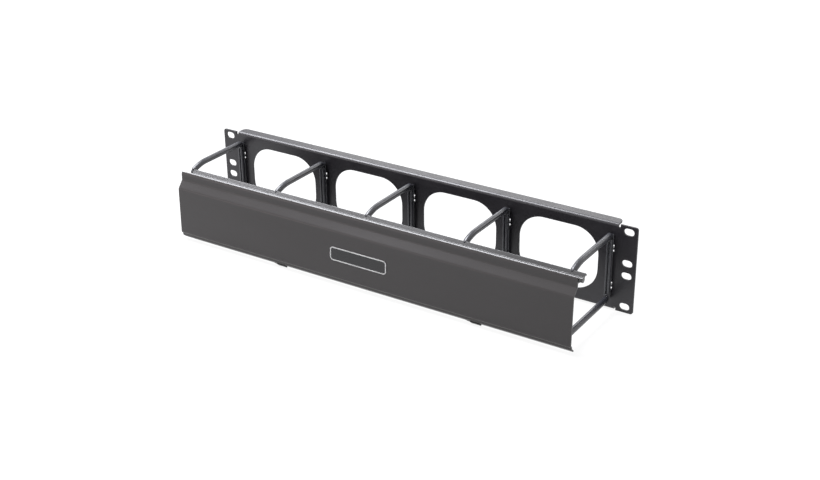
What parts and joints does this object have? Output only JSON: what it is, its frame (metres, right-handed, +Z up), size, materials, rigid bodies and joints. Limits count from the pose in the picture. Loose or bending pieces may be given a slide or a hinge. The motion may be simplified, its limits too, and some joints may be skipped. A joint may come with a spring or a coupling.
{
  "type": "horizontal cable manager",
  "caption": "Rack-mount horizontal cable manager: folded panel with large windows, D-shaped cable rings and a hinged front cover.",
  "frame": {"origin": "centre of the panel's rear face, which lies on the rack rails", "axes": "+X along the rack to the right seen from the front, +Y into the rack, +Z up"},
  "size_m": [0.4826, 0.1078, 0.0897],
  "materials": {
    "panel_steel": "satin black powder coat",
    "ring_plastic": "semi-matte black moulded plastic",
    "rail_plastic": "satin dark extruded plastic",
    "cover_plastic": "satin dark grey extruded plastic",
    "tab_plastic": "matte black",
    "plate_plastic": "black field with a pale rim, left bare"
  },
  "bodies": {
    "frame": {"back_panel": "panel_steel", "ring_1": "ring_plastic", "ring_2": "ring_plastic", "ring_3": "ring_plastic", "ring_4": "ring_plastic", "ring_5": "ring_plastic", "hinge_rail": "rail_plastic"},
    "cover": {"front_cover": "cover_plastic", "pull_tab_left": "tab_plastic", "pull_tab_right": "tab_plastic", "name_plate": "plate_plastic"}
  },
  "joints": [
    {"name": "cover_hinge", "type": "hinge", "parent": "frame", "child": "cover", "pos_m": [0, -0.086, 0.0258], "axis": [-1, 0, 0], "range_deg": [0, 65]}
  ]
}
